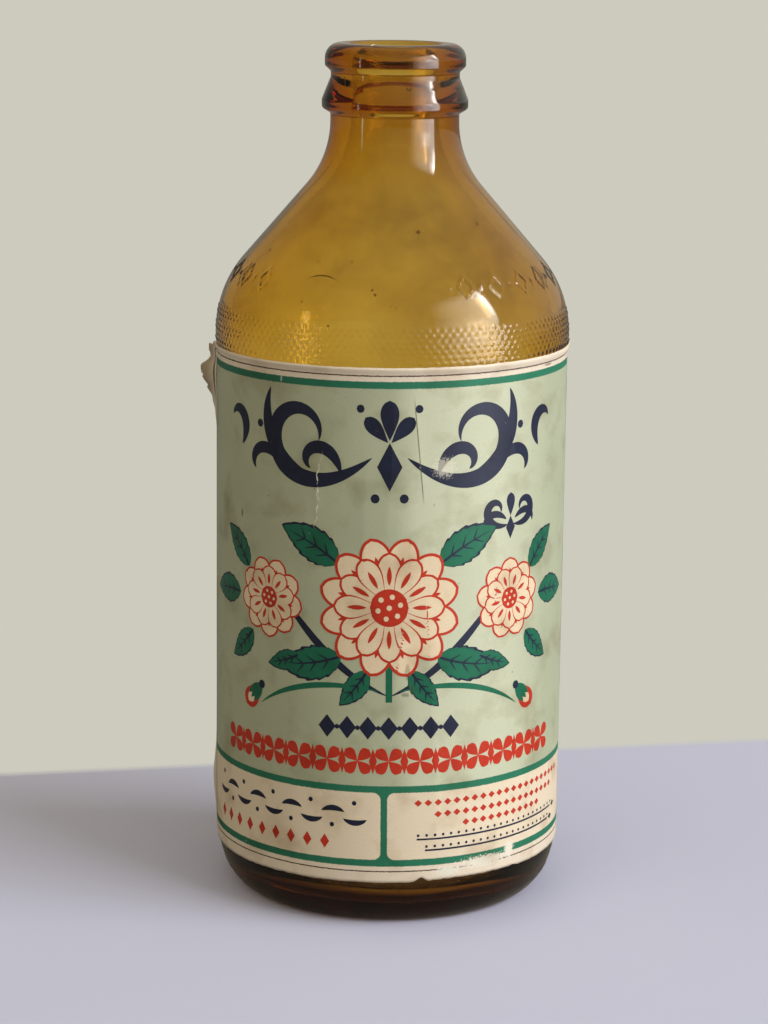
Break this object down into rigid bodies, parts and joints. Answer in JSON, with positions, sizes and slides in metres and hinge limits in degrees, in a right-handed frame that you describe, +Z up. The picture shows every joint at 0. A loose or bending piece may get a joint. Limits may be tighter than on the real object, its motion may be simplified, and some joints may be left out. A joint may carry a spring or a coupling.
{
  "type": "crown-finish glass bottle",
  "caption": "Stubby amber glass bottle with a crown-cork finish, stippled shoulder band and a printed paper label wrapped round its front; open at the mouth.",
  "frame": {"origin": "centre of the foot ring's plane, where the bottle's axis meets the surface it stands on", "axes": "+Z up the bottle's axis to the mouth, -Y towards the middle of the label, +X to the right of someone facing the label"},
  "size_m": [0.0676, 0.0674, 0.1635],
  "materials": {
    "amber_glass": "polished",
    "label_paper": "uncoated printed paper, matt"
  },
  "bodies": {
    "root": {"glass_bottle": "amber_glass", "paper_label": "label_paper"}
  },
  "joints": []
}
